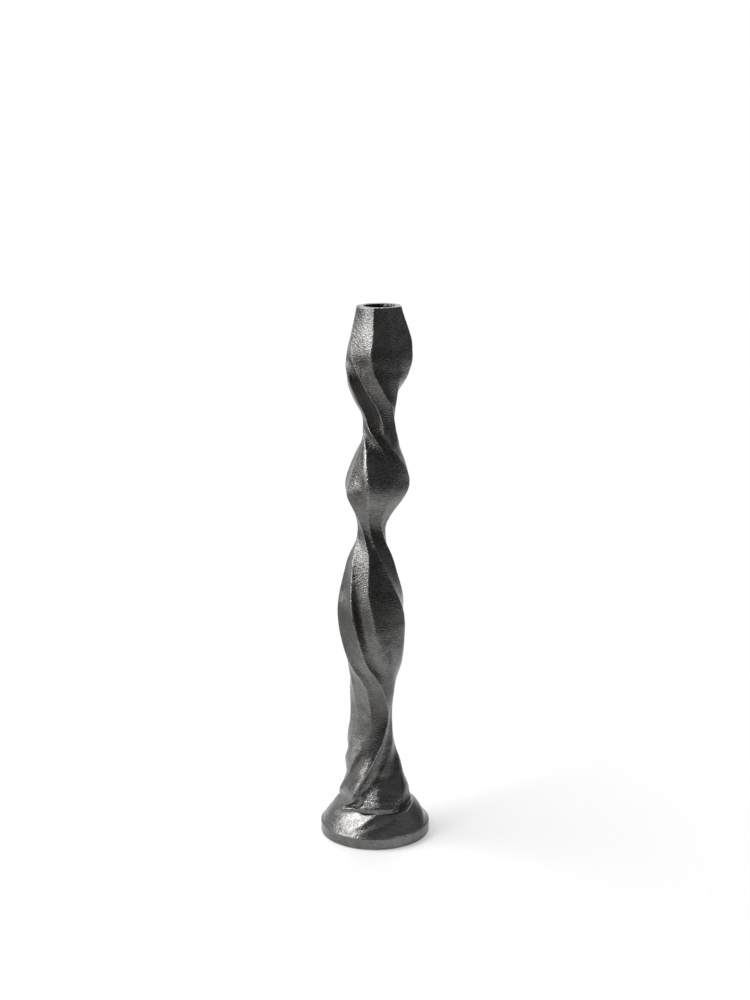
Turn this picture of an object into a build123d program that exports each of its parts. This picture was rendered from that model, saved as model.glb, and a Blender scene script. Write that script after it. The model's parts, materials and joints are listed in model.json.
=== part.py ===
import math
import os

from build123d import *

# A tall candlestick: a twisted, seven-ridged stem stands on a round, swirled base.
# Lengths are millimetres, angles degrees. The table is at height zero, and angles
# round the stem count from the front, towards the right.

# Overall sizes
overall_height = 400.0
base_diameter = 82.0
band_height = 9.0
cut_overrun = 2.0

# Candle socket in the stem's top
candle_diameter = 22.0
candle_clearance = 0.5
socket_depth = 30.0
socket_lead_in = 0.8

# Radius of the stem over its ridges, from the rim down to the ankle above the hem
rim_radius = 16.6
crown_radius = 23.6
upper_waist_radius = 12.0
knop_radius = 23.8
lower_waist_radius = 10.4
shoulder_radius = 18.4
belly_radius = 25.4
neck_radius = 16.2
ankle_radius = 21.2
instep_radius = 25.4

# The stem leans to either side of the upright by up to this much
lean_reach = 4.0

# The hem of the stem hangs over the dome's shoulder
hem_drop = 5.5
hem_lip = 1.2
hem_clearance = 0.3

# Dome of the base
band_ledge = 0.6
band_edge_round = 0.5
plateau_radius = 27.0

# Underside of the base
felt_thickness = 2.0
felt_stand_off = 0.5
felt_clearance = 0.3
rim_wall = 3.0
hollow_wall = 9.0
roof_thickness = 10.5

# Stud, nut and washers that pull the stem down on the base
stud_diameter = 8.0
stud_engagement = 28.0
stud_tail = 2.0
stud_to_felt = 1.4
stud_chamfer = 0.8
stud_end_clearance = 3.0
thread_clearance = 0.05
shank_clearance = 0.5
nut_across_flats = 13.0
nut_thickness = 6.5
washer_diameter = 16.0
washer_thickness = 1.6
washer_clearance = 0.2
spring_washer_diameter = 14.8
spring_washer_thickness = 2.0
spring_washer_slit = 1.0

# Dowels that keep the stem's folds in line with the base
pin_diameter = 5.0
pin_length = 16.0
pin_offset = 15.0
pin_chamfer = 0.5
pin_clearance = 0.05
pin_end_clearance = 0.5

# Heights of the stem's wide and narrow places, as shares of the overall height
rim_height_share = 1.0
crown_height_share = 0.905
upper_waist_height_share = 0.79
knop_height_share = 0.675
lower_waist_height_share = 0.59
shoulder_height_share = 0.5225
belly_height_share = 0.43
neck_height_share = 0.24
ankle_height_share = 0.12

# Height of the instep, as a share of the way from the seat up to the ankle
instep_height_share = 0.25

# How far the stem leans: height share, share of the reach
lean_shares = [
    (0.06, 0.0),
    (0.12, -0.25),
    (0.17, -0.75),
    (0.24, -0.68),
    (0.335, -0.3),
    (0.43, -0.85),
    (0.52, -0.85),
    (0.59, -0.62),
    (0.66, 0.1),
    (0.725, 0.6),
    (0.79, 0.75),
    (0.85, 0.2),
    (0.925, 0.9),
    (1.0, 0.75),
]

# How far the ridges have turned: height share, angle of the middle ridge
turn_shares = [
    (0.05, 22),
    (0.095, 54),
    (0.13, 78),
    (0.168, 107),
    (0.198, 126),
    (0.228, 138),
    (0.242, 137),
    (0.272, 124),
    (0.3, 108),
    (0.318, 95),
    (0.335, 80),
    (0.35, 72),
    (0.373, 67),
    (0.425, 59),
    (0.47, 51),
    (0.518, 41),
    (0.545, 33),
    (0.565, 20),
    (0.585, 5),
    (0.603, -8),
    (0.623, -14),
    (0.653, -16),
    (0.693, -18),
    (0.725, -25),
    (0.743, -34),
    (0.758, -51),
    (0.775, -73),
    (0.793, -84),
    (0.813, -93),
    (0.84, -111),
    (0.87, -130),
    (0.898, -146),
    (0.928, -154),
    (1.0, -154),
]

# Where the seven ridges stand beside the middle one: height share, angles
fan_shares = [
    (0.05, (-135, -88, -44, 0, 47, 94, 141)),
    (0.23, (-139, -82, -44, 0, 47, 94, 141)),
    (0.31, (-127, -90, -44, 4, 50, 96, 141)),
    (0.4, (-132, -88, -53, 12, 56, 100, 141)),
    (0.475, (-135, -89, -52, 4, 50, 94, 141)),
    (0.56, (-135, -88, -36, -8, 52, 94, 141)),
    (0.64, (-135, -88, -44, 0, 47, 94, 141)),
    (1.0, (-135, -88, -44, 0, 47, 94, 141)),
]

# Reach of each ridge: height share, shares of the stem's radius there
ridge_shares = [
    (0.06, (0.93, 0.99, 1.0, 1.0, 0.985, 0.94, 0.94)),
    (0.12, (1.0, 1.0, 1.0, 1.0, 1.0, 1.0, 1.0)),
    (0.24, (1.0, 1.0, 1.0, 1.0, 1.0, 1.0, 1.0)),
    (0.34, (1.08, 1.0, 1.0, 1.0, 1.0, 1.0, 1.0)),
    (0.43, (1.0, 1.0, 1.0, 1.07, 1.03, 1.0, 1.0)),
    (0.53, (1.0, 1.0, 1.0, 1.0, 1.0, 1.0, 1.0)),
    (0.655, (1.0, 1.0, 1.05, 1.0, 1.0, 1.0, 1.0)),
    (0.72, (1.0, 1.0, 1.0, 1.0, 1.0, 1.0, 1.0)),
    (0.79, (1.0, 1.0, 1.0, 1.0, 1.0, 1.05, 1.14)),
    (0.835, (1.0, 1.0, 1.0, 1.0, 1.1, 1.0, 1.05)),
    (0.88, (1.0, 1.0, 1.0, 1.0, 1.0, 1.0, 1.0)),
    (0.945, (1.1, 1.05, 1.0, 1.0, 1.0, 1.0, 1.0)),
    (1.0, (1.0, 1.0, 1.0, 1.0, 1.0, 1.0, 1.0)),
]

# Reach of the middle of the face after each ridge: height share, shares of the radius
valley_shares = [
    (0.06, (0.9, 0.9, 0.985, 0.98, 0.93, 0.92, 0.9)),
    (0.13, (0.84, 0.86, 0.93, 0.93, 0.9, 0.9, 0.92)),
    (0.2, (0.88, 0.88, 0.91, 0.91, 0.9, 0.9, 0.94)),
    (0.26, (0.9, 0.9, 0.9, 0.9, 0.9, 0.9, 0.92)),
    (0.33, (0.86, 0.84, 0.84, 0.86, 0.86, 0.86, 0.84)),
    (0.43, (0.88, 0.8, 0.78, 0.84, 0.86, 0.86, 0.8)),
    (0.52, (0.86, 0.82, 0.8, 0.84, 0.84, 0.84, 0.78)),
    (0.59, (0.8, 0.8, 0.8, 0.76, 0.78, 0.78, 0.74)),
    (0.675, (0.86, 0.86, 0.84, 0.9, 0.88, 0.86, 0.8)),
    (0.79, (0.8, 0.8, 0.8, 0.78, 0.8, 0.8, 0.76)),
    (0.88, (0.9, 0.88, 0.88, 0.88, 0.88, 0.9, 0.84)),
    (1.0, (0.95, 0.95, 0.95, 0.95, 0.95, 0.95, 0.93)),
]

# A ridge is rounded over this share of the half face beside it
ridge_round_share = 0.16

# Stem and dome are drawn at this many angles, in straight bands between close heights
outline_points = 108
dome_band_count = 12
lip_band_count = 4

# A band of the stem is this share of the overall height, or shorter where it turns fast
stem_band_share = 0.009
band_shrink_share = 0.8
band_turn = 5.0

# Dome: how it bulges, and how deep its folds are and how far they turn over its rise
dome_bulge_power = 0.7
dome_turn = 75.0
dome_fold_share = 0.05

# Sizes that follow from those above: the fixings stack up from the felt to the stem's seat
stud_bottom = felt_thickness + stud_to_felt
nut_bottom = stud_bottom + stud_tail
spring_washer_bottom = nut_bottom + nut_thickness
washer_bottom = spring_washer_bottom + spring_washer_thickness
roof_height = washer_bottom + washer_thickness
seat_height = roof_height + roof_thickness
stud_top = seat_height + stud_engagement
stud_radius = stud_diameter / 2
pin_radius = pin_diameter / 2
pin_places = [(-pin_offset, 0), (pin_offset, 0)]
base_radius = base_diameter / 2
recess_radius = base_radius - rim_wall
dome_foot_radius = base_radius - band_ledge
dome_rise = seat_height - band_height
hem_height = seat_height - hem_drop
socket_radius = (candle_diameter + candle_clearance) / 2


def smooth(rows, place):
    """Value at a place on the smooth curve through rows of (place, value), without overshoot."""
    if place <= rows[0][0]:
        return rows[0][1]
    if place >= rows[-1][0]:
        return rows[-1][1]
    slopes = [(b[1] - a[1]) / (b[0] - a[0]) for a, b in zip(rows, rows[1:])]
    tangents = [slopes[0]]
    for before, after in zip(slopes, slopes[1:]):
        rising = before * after > 0
        tangents.append(2 * before * after / (before + after) if rising else 0.0)
    tangents.append(slopes[-1])
    index = max(i for i, row in enumerate(rows[:-1]) if row[0] <= place)
    (start, low), (end, high) = rows[index], rows[index + 1]
    gap = end - start
    t = (place - start) / gap
    pull = t * (1 - t) * gap * ((1 - t) * tangents[index] - t * tangents[index + 1])
    return low + (high - low) * t * t * (3 - 2 * t) + pull


def smooth_set(rows, place):
    """The same for rows of (place, several values)."""
    columns = range(len(rows[0][1]))
    return [smooth([(row[0], row[1][i]) for row in rows], place) for i in columns]


def dome_radius(height):
    """Radius of the dome over its folds."""
    left = (seat_height - height) / dome_rise
    return plateau_radius + (dome_foot_radius - plateau_radius) * left ** dome_bulge_power


def stem_radius(height):
    """Radius of the stem over its ridges."""
    ankle_height = ankle_height_share * overall_height
    instep_height = seat_height + instep_height_share * (ankle_height - seat_height)
    rows = [(lip, dome_radius(lip) + hem_clearance + hem_lip) for lip in lip_heights]
    rows += [
        (instep_height, instep_radius),
        (ankle_height, ankle_radius),
        (neck_height_share * overall_height, neck_radius),
        (belly_height_share * overall_height, belly_radius),
        (shoulder_height_share * overall_height, shoulder_radius),
        (lower_waist_height_share * overall_height, lower_waist_radius),
        (knop_height_share * overall_height, knop_radius),
        (upper_waist_height_share * overall_height, upper_waist_radius),
        (crown_height_share * overall_height, crown_radius),
        (rim_height_share * overall_height, rim_radius),
    ]
    return smooth(rows, height)


def stem_lean(height):
    """How far the middle of the stem lies to the right of the upright."""
    return lean_reach * smooth(lean_shares, height / overall_height)


def around(radius, angle):
    """Point at a radius and an angle from the front, towards the right."""
    return Vector(radius * math.sin(math.radians(angle)), -radius * math.cos(math.radians(angle)))


def eased(share):
    """Share of the way up a face, from its middle to its ridge, rounded at the ridge."""
    blunt = math.hypot(1 - share, ridge_round_share) - ridge_round_share
    return 1 - blunt / (math.hypot(1, ridge_round_share) - ridge_round_share)


def ridged_outline(radius, angles, ridge_reach, valley_reach):
    """Closed curve whose faces dip evenly between the ridges at the given angles."""
    points = []
    for step in range(outline_points):
        angle = 360 * step / outline_points
        turned = (angle - angles[0]) % 360
        ridge = max(i for i, a in enumerate(angles) if a - angles[0] <= turned)
        following = (ridge + 1) % len(angles)
        width = (angles[following] - angles[ridge]) % 360
        across = (turned - angles[ridge] + angles[0]) / width
        nearer = ridge if across < 1 / 2 else following
        valley = valley_reach[ridge] * (ridge_reach[ridge] + ridge_reach[following]) / 2
        rise = eased(abs(2 * across - 1)) ** 2
        points.append(around(radius * (valley + (ridge_reach[nearer] - valley) * rise), angle))
    places = [step / outline_points for step in range(outline_points + 1)]
    return Edge.make_spline(points, periodic=True, parameters=places)


def stem_outline(height):
    """Outline of the stem at a height, about its own middle."""
    share = height / overall_height
    turn = smooth(turn_shares, share)
    angles = [turn + beside for beside in smooth_set(fan_shares, share)]
    ridge_reach = smooth_set(ridge_shares, share)
    valley_reach = smooth_set(valley_shares, share)
    return ridged_outline(stem_radius(height), angles, ridge_reach, valley_reach)


def dome_outline(height):
    """Outline of the dome at a height."""
    rise = (height - band_height) / dome_rise
    turn = smooth(turn_shares, seat_height / overall_height) - dome_turn * (1 - rise)
    angles = [turn + beside for beside in fan_shares[0][1]]
    fold = dome_fold_share * math.sin(math.pi * rise)
    return ridged_outline(dome_radius(height), angles, [1] * len(angles), [1 - fold] * len(angles))


def stem_heights():
    """Heights at which the stem is drawn, closer together where it turns fast."""
    heights = list(lip_heights)
    while heights[-1] < overall_height:
        step = stem_band_share * overall_height
        start = smooth(turn_shares, heights[-1] / overall_height)
        while abs(smooth(turn_shares, (heights[-1] + step) / overall_height) - start) > band_turn:
            step *= band_shrink_share
        heights.append(min(heights[-1] + step, overall_height))
    return heights


dome_heights = [band_height + dome_rise * i / dome_band_count for i in range(dome_band_count + 1)]
lip_heights = [hem_height + hem_drop * i / lip_band_count for i in range(lip_band_count + 1)]

os.makedirs("parts", exist_ok=True)

# What is cut from the stem: the dome's space under it, and its holes
with BuildPart() as stem_cuts:
    # Flat on the dome's top, then clear of the dome's shoulder
    with BuildSketch(Plane.XZ):
        with BuildLine():
            shoulder = [(dome_radius(height) + hem_clearance, height) for height in dome_heights]
            Polyline(*shoulder, (0, seat_height), (0, band_height), close=True)
        make_face()
    revolve(axis=Axis.Z)
    # Tapped hole for the stud, and holes for the pins
    with BuildSketch(Plane.XY.offset(seat_height)):
        Circle(stud_radius + thread_clearance)
    extrude(amount=stud_engagement + stud_end_clearance)
    with BuildSketch(Plane.XY.offset(seat_height)):
        with Locations(*pin_places):
            Circle(pin_radius + pin_clearance)
    extrude(amount=pin_length / 2 + pin_end_clearance)
    # Candle socket, with a lead-in at its mouth
    mouth = (stem_lean(overall_height), 0, overall_height)
    with BuildSketch(Plane(mouth, x_dir=(1, 0, 0), z_dir=(0, -1, 0))):
        with BuildLine():
            Polyline(
                (0, -socket_depth),
                (socket_radius, -socket_depth),
                (socket_radius, -socket_lead_in),
                (socket_radius + socket_lead_in + cut_overrun, cut_overrun),
                (0, cut_overrun),
                close=True,
            )
        make_face()
    revolve(axis=Axis(mouth, (0, 0, 1)))

# Stem: one casting, lofted through its sections
with BuildPart() as stem:
    for height in stem_heights():
        with BuildSketch(Plane.XY.offset(height).move(Pos(stem_lean(height), 0, 0))):
            with BuildLine():
                add(stem_outline(height))
            make_face()
    loft(ruled=True)
    add(stem_cuts.part, mode=Mode.SUBTRACT)
stem.part.label = "stem"
export_step(stem.part, "parts/stem.step")

# Base: a plain band with a swirled dome on it, hollow below
with BuildPart() as base:
    with BuildSketch(Plane.XY.offset(felt_stand_off)):
        Circle(base_radius)
    extrude(amount=band_height - felt_stand_off)
    band_edges = base.edges().filter_by(GeomType.CIRCLE)
    fillet(band_edges, radius=band_edge_round)
    for height in dome_heights:
        with BuildSketch(Plane.XY.offset(height)):
            with BuildLine():
                add(dome_outline(height))
            make_face()
    loft(ruled=True)
    # Felt recess and hollow
    with BuildSketch(Plane.XY):
        Circle(recess_radius)
    extrude(amount=felt_thickness, mode=Mode.SUBTRACT)
    with BuildSketch(Plane.XY):
        Circle(base_radius - hollow_wall)
    extrude(amount=roof_height, mode=Mode.SUBTRACT)
    # Holes for the stud and the pins
    with BuildSketch(Plane.XY.offset(seat_height)):
        Circle(stud_radius + shank_clearance)
    extrude(amount=-roof_thickness - cut_overrun, mode=Mode.SUBTRACT)
    with BuildSketch(Plane.XY.offset(seat_height)):
        with Locations(*pin_places):
            Circle(pin_radius + pin_clearance)
    extrude(amount=-pin_length / 2 - pin_end_clearance, mode=Mode.SUBTRACT)
base.part.label = "base"
export_step(base.part, "parts/base.step")

# Stud, screwed into the stem and through the base
with BuildPart() as tie_stud:
    with BuildSketch(Plane.XY.offset(stud_bottom)):
        Circle(stud_radius)
    extrude(amount=stud_top - stud_bottom)
    chamfer(tie_stud.edges().filter_by(GeomType.CIRCLE), length=stud_chamfer)
tie_stud.part.label = "tie_stud"
export_step(tie_stud.part, "parts/tie_stud.step")

# Flat washer, against the base's roof
with BuildPart() as flat_washer:
    with BuildSketch(Plane.XY.offset(washer_bottom)):
        Circle(washer_diameter / 2)
        Circle(stud_radius + washer_clearance, mode=Mode.SUBTRACT)
    extrude(amount=washer_thickness)
flat_washer.part.label = "flat_washer"
export_step(flat_washer.part, "parts/flat_washer.step")

# Spring washer, a split ring pressed flat
with BuildPart() as spring_washer:
    with BuildSketch(Plane.XY.offset(spring_washer_bottom)):
        Circle(spring_washer_diameter / 2)
        Circle(stud_radius + washer_clearance, mode=Mode.SUBTRACT)
        with Locations((spring_washer_diameter / 2, 0)):
            Rectangle(spring_washer_diameter, spring_washer_slit, mode=Mode.SUBTRACT)
    extrude(amount=spring_washer_thickness)
spring_washer.part.label = "spring_washer"
export_step(spring_washer.part, "parts/spring_washer.step")

# Nut
with BuildPart() as hex_nut:
    with BuildSketch(Plane.XY.offset(nut_bottom)):
        RegularPolygon(nut_across_flats / 2, 6, major_radius=False)
        Circle(stud_radius + thread_clearance, mode=Mode.SUBTRACT)
    extrude(amount=nut_thickness)
hex_nut.part.label = "hex_nut"
export_step(hex_nut.part, "parts/hex_nut.step")

# Pins, half in the base and half in the stem
with BuildPart() as locating_pins:
    with BuildSketch(Plane.XY.offset(seat_height - pin_length / 2)):
        with Locations(*pin_places):
            Circle(pin_radius)
    extrude(amount=pin_length)
    chamfer(locating_pins.edges().filter_by(GeomType.CIRCLE), length=pin_chamfer)
locating_pins.part.label = "locating_pins"
export_step(locating_pins.part, "parts/locating_pins.step")

# Felt pad that the candlestick stands on
with BuildPart() as felt_pad:
    with BuildSketch(Plane.XY):
        Circle(recess_radius - felt_clearance)
    extrude(amount=felt_thickness)
felt_pad.part.label = "felt_pad"
export_step(felt_pad.part, "parts/felt_pad.step")
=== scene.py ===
import json
import math

import bpy
import numpy as np
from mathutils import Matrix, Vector


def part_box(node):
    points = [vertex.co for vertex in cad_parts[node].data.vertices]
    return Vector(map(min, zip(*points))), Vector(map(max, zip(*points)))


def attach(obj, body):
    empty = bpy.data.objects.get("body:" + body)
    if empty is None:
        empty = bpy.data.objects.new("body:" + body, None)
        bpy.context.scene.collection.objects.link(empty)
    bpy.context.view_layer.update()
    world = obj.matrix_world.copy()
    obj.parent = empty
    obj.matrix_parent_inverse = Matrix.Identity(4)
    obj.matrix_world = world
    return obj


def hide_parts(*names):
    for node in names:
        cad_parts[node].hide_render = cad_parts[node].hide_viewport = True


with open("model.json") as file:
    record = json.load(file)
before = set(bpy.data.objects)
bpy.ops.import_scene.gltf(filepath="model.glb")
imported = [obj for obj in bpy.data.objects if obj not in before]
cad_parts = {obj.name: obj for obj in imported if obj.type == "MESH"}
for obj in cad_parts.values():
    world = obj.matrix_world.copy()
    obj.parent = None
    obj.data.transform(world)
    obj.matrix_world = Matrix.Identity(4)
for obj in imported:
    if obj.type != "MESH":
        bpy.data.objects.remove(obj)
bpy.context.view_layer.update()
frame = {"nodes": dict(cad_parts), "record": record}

# A tall candlestick of blackened cast metal: a twisted, eight-ridged stem on a round base.
# Lengths are millimetres, and metres for the floor, the lamps and the camera.
# Angles are degrees, counted from the front towards the right.
MM = 0.001

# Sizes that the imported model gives
stem_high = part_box("stem")[1] / MM
base_low, base_high = (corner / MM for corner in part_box("base"))
felt_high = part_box("felt_pad")[1] / MM
stud_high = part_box("tie_stud")[1] / MM
washer_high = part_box("flat_washer")[1] / MM
mounts = {mount["name"]: mount for mount in frame["record"]["mounts"]}
socket_sizes = mounts["candle_socket"]["dims"]
overall_height = stem_high.z
seat_height = base_high.z
base_radius = base_high.x
felt_radius = felt_high.x
felt_thickness = felt_high.z
felt_stand_off = base_low.z
roof_height = washer_high.z
stud_top = stud_high.z

# Candle socket, and the rim round it
socket_radius = socket_sizes["r_mm"]
socket_lead_in = 0.8
socket_depth = socket_sizes["length_mm"] + socket_lead_in
socket_floor_rings = (1.25, 3.25, 6.25, 9.25)
socket_floor_round = 0.6
socket_wall_foot = 2.0
socket_wall_row_count = 24
lead_in_pull, lead_in_drop = 0.35, 0.25
rim_round = 0.9
rim_turns = (90.0, 67.5, 45.0, 22.5)

# Radius of the stem over its ridges: height share, millimetres
radius_shares = [
    (0.105, 24.2),
    (0.12, 22.0),
    (0.24, 16.2),
    (0.43, 25.4),
    (0.5225, 18.4),
    (0.59, 10.4),
    (0.675, 23.8),
    (0.79, 12.0),
    (0.905, 23.6),
    (1.0, 16.6),
]
instep_height, instep_radius = 34.0, 27.2

# Dome of the base, and the lip of the stem that hangs over it
band_height = 9.0
dome_foot_radius = 40.4
plateau_radius = 27.0
dome_bulge_power = 0.7
hem_clearance = 0.3
hem_lip = 0.5
lip_low = 20.5
lip_row_count = 5
lip_height = 7.6
lip_slope = 4.0
lip_middle = -5.0
lip_half_width = 33.0
lip_level_share = 0.85
lip_thickness = 0.3
lip_flare = 0.16
lip_softening = 200

# Narrow roll along the rest of the hem
roll_depth = 0.6
roll_height = 1.6
roll_half_height = 1.3

# Underside of the stem: the lip's edge, the seat and the stud's hole
lip_edge_width = 0.6
lip_edge_pull, lip_edge_drop = 0.35, 0.3
lip_inner_pull, lip_inner_drop = 0.3, 0.35
lip_inner_lift = 0.1
seat_rise_shares = (0.35, 0.7, 1.0)
seat_rings = (11.0, 18.0, 24.0)
stud_hole_radius = 4.05
stud_hole_middle = 40.0
stud_hole_top = stud_top + 3.0

# How far the stem leans to the right: height share, millimetres
lean_shares = [
    (0.06, 0.0),
    (0.12, -1.0),
    (0.17, -3.0),
    (0.24, -2.72),
    (0.335, -1.2),
    (0.43, -3.4),
    (0.52, -3.4),
    (0.59, -2.48),
    (0.66, 0.4),
    (0.725, 2.4),
    (0.79, 3.0),
    (0.85, 0.8),
    (0.925, 3.6),
    (1.0, 3.0),
]

# Angle of the middle ridge: height share, degrees
turn_shares = [
    (0.05, 22),
    (0.095, 54),
    (0.13, 78),
    (0.168, 107),
    (0.198, 126),
    (0.228, 138),
    (0.242, 137),
    (0.272, 124),
    (0.3, 108),
    (0.318, 95),
    (0.335, 80),
    (0.35, 72),
    (0.373, 67),
    (0.425, 59),
    (0.47, 51),
    (0.518, 41),
    (0.545, 33),
    (0.565, 20),
    (0.585, 5),
    (0.603, -8),
    (0.623, -14),
    (0.653, -14),
    (0.68, -12),
    (0.7, -14.5),
    (0.725, -18.5),
    (0.741, -27),
    (0.758, -49),
    (0.775, -73),
    (0.793, -84),
    (0.813, -93),
    (0.84, -111),
    (0.87, -130),
    (0.898, -146),
    (0.928, -154),
    (1.0, -154),
]

# Where the eight ridges stand beside the middle one: height share, degrees
# In every table of eight, the ridges or the faces after them come in this order.
fan_shares = [
    (0.05, (-140, -96, -20, 4, 47, 94, 141, 182)),
    (0.0635, (-140, -93, -27, 4, 47, 94, 141, 182)),
    (0.067, (-139, -85, -29, 4, 47, 94, 141, 182)),
    (0.0775, (-136, -77, -35, 3, 47, 94, 141, 182)),
    (0.085, (-135, -80, -39, 2, 47, 94, 141, 182)),
    (0.096, (-135, -87, -44, 1, 47, 94, 141, 182)),
    (0.115, (-135, -90, -52, 0, 47, 94, 141, 182)),
    (0.16, (-137, -92, -46, 0, 47, 94, 141, 182)),
    (0.2, (-139, -90, -44, 0, 47, 94, 141, 182)),
    (0.24, (-139, -83, -44, 0, 47, 94, 141, 182)),
    (0.31, (-127, -90, -44, 4, 50, 96, 141, 186)),
    (0.4, (-132, -88, -53, 12, 56, 100, 141, 184)),
    (0.475, (-135, -89, -52, 4, 50, 94, 141, 182)),
    (0.56, (-135, -88, -36, -8, 52, 94, 141, 182)),
    (0.64, (-135, -88, -45, 0, 46, 93, 140, 181)),
    (0.68, (-139, -92, -48, -1, 43, 89, 138, 178)),
    (0.7, (-140, -93, -49, -4, 42, 81, 137, 177)),
    (0.73, (-140, -93, -49, -9, 39, 69, 136, 176)),
    (0.745, (-138, -91, -47, -7, 40, 67, 138, 178)),
    (0.765, (-135, -88, -44, 0, 44, 83, 141, 181)),
    (0.79, (-135, -88, -44, 0, 34, 94, 141, 181)),
    (0.82, (-135, -88, -44, 0, 40, 94, 141, 181)),
    (0.85, (-135, -88, -44, 0, 62, 94, 135, 181)),
    (0.88, (-135, -88, -44, 0, 74, 95, 132, 181)),
    (0.91, (-135, -88, -44, 0, 71, 92, 136, 181)),
    (0.945, (-135, -88, -44, 0, 52, 82, 141, 181)),
    (1.0, (-135, -88, -44, 0, 47, 80, 141, 181)),
]

# Reach of each ridge: height share, shares of the stem's radius there
ridge_shares = [
    (0.06, (1.0, 1.0, 1.0, 1.0, 1.0, 1.0, 1.0, 1.0)),
    (0.068, (1.0, 1.08, 1.04, 1.02, 0.99, 0.98, 0.98, 0.97)),
    (0.08, (0.99, 1.08, 1.01, 1.0, 0.97, 0.96, 0.96, 0.94)),
    (0.09, (0.97, 1.08, 0.94, 0.98, 0.97, 0.96, 0.96, 0.93)),
    (0.105, (0.97, 1.09, 0.84, 0.99, 0.98, 0.97, 0.97, 0.92)),
    (0.12, (0.98, 1.1, 0.8, 1.02, 1.01, 0.98, 0.98, 0.92)),
    (0.13, (1.0, 1.08, 0.82, 1.03, 1.02, 0.99, 0.99, 0.98)),
    (0.145, (1.03, 1.05, 0.86, 1.05, 1.02, 1.0, 1.0, 1.02)),
    (0.165, (1.0, 1.02, 0.95, 1.05, 1.0, 1.0, 1.0, 0.98)),
    (0.18, (1.02, 1.03, 0.99, 1.06, 1.0, 1.0, 1.04, 1.02)),
    (0.24, (1.0, 1.0, 1.0, 1.0, 1.0, 1.0, 1.0, 0.98)),
    (0.33, (1.08, 1.0, 1.0, 1.07, 1.0, 1.0, 1.0, 0.94)),
    (0.43, (1.0, 1.0, 1.0, 1.08, 1.04, 1.0, 1.0, 0.92)),
    (0.53, (1.0, 1.0, 1.0, 1.0, 1.0, 1.0, 1.0, 0.9)),
    (0.6, (1.0, 1.0, 1.04, 1.0, 0.94, 1.0, 1.0, 0.9)),
    (0.655, (1.0, 1.0, 1.08, 1.0, 0.85, 1.04, 1.0, 0.9)),
    (0.68, (1.0, 1.0, 0.97, 1.01, 0.85, 1.06, 1.0, 0.9)),
    (0.72, (1.0, 1.0, 0.9, 1.02, 0.86, 1.1, 1.0, 0.9)),
    (0.757, (1.0, 1.0, 0.86, 1.0, 0.96, 1.05, 1.0, 0.9)),
    (0.79, (1.0, 1.0, 1.0, 1.0, 1.02, 1.05, 1.14, 0.92)),
    (0.835, (1.0, 1.0, 1.0, 1.06, 1.12, 1.0, 1.05, 0.97)),
    (0.865, (1.06, 1.0, 1.0, 1.1, 1.14, 0.95, 0.99, 0.97)),
    (0.89, (1.03, 1.0, 1.0, 1.05, 1.09, 0.96, 0.97, 0.86)),
    (0.92, (1.06, 1.0, 1.0, 1.0, 1.02, 1.02, 1.01, 0.83)),
    (0.945, (1.1, 1.05, 1.0, 1.0, 1.0, 1.0, 1.0, 0.8)),
    (1.0, (1.0, 1.0, 1.0, 1.0, 1.0, 1.0, 1.0, 0.8)),
]

# How far the face after each ridge sags below a flat one: height share, shares of the radius
sag_shares = [
    (0.06, (-0.08, -0.08, -0.02, -0.08, -0.08, -0.08, -0.08, -0.06)),
    (0.068, (0.0, 0.06, 0.0, -0.04, -0.03, -0.03, -0.04, -0.03)),
    (0.08, (0.0, 0.12, 0.0, -0.03, 0.0, 0.0, -0.02, -0.02)),
    (0.1, (-0.02, 0.12, 0.0, -0.07, 0.0, 0.0, -0.02, -0.04)),
    (0.13, (-0.04, 0.09, 0.0, -0.06, 0.01, 0.01, -0.01, -0.06)),
    (0.15, (-0.04, 0.1, 0.0, -0.04, 0.01, 0.01, -0.01, -0.06)),
    (0.19, (-0.02, 0.1, 0.01, -0.01, 0.01, 0.01, 0.0, -0.02)),
    (0.26, (0.01, 0.01, 0.01, 0.01, 0.01, 0.01, 0.0, 0.0)),
    (0.31, (0.02, 0.03, 0.0, 0.0, 0.03, 0.03, 0.02, 0.02)),
    (0.36, (0.04, 0.09, 0.0, 0.02, 0.03, 0.03, 0.02, 0.02)),
    (0.43, (0.02, 0.14, 0.04, 0.03, 0.03, 0.03, 0.02, 0.02)),
    (0.5, (0.02, 0.03, 0.05, 0.03, 0.03, 0.03, 0.02, 0.02)),
    (0.56, (0.03, 0.03, 0.05, 0.08, 0.03, 0.03, 0.02, 0.02)),
    (0.6, (0.03, 0.03, 0.03, 0.05, 0.03, 0.03, 0.03, 0.03)),
    (0.65, (0.02, 0.02, 0.0, 0.0, 0.0, 0.02, 0.02, 0.02)),
    (0.68, (0.02, 0.02, -0.03, 0.0, 0.0, 0.0, 0.02, 0.02)),
    (0.7, (0.02, 0.02, -0.03, 0.0, 0.0, -0.05, 0.02, 0.02)),
    (0.735, (0.02, 0.02, -0.03, 0.03, 0.02, -0.09, 0.02, 0.02)),
    (0.762, (0.03, 0.03, 0.0, 0.08, 0.05, -0.03, 0.02, 0.02)),
    (0.79, (0.04, 0.04, 0.04, 0.02, 0.09, 0.03, 0.03, 0.03)),
    (0.83, (0.03, 0.03, 0.03, -0.1, 0.15, 0.01, 0.04, 0.02)),
    (0.87, (0.03, 0.03, 0.03, -0.12, 0.08, 0.01, 0.04, 0.02)),
    (0.895, (0.01, 0.01, 0.01, -0.08, 0.03, 0.035, 0.02, 0.01)),
    (0.918, (0.0, 0.0, 0.0, -0.05, 0.0, 0.0, 0.005, 0.0)),
    (0.945, (0.0, 0.0, 0.0, 0.0, 0.0, -0.05, -0.01, 0.0)),
    (1.0, (-0.03, -0.02, -0.02, -0.02, -0.02, -0.05, -0.01, -0.01)),
]

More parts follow.
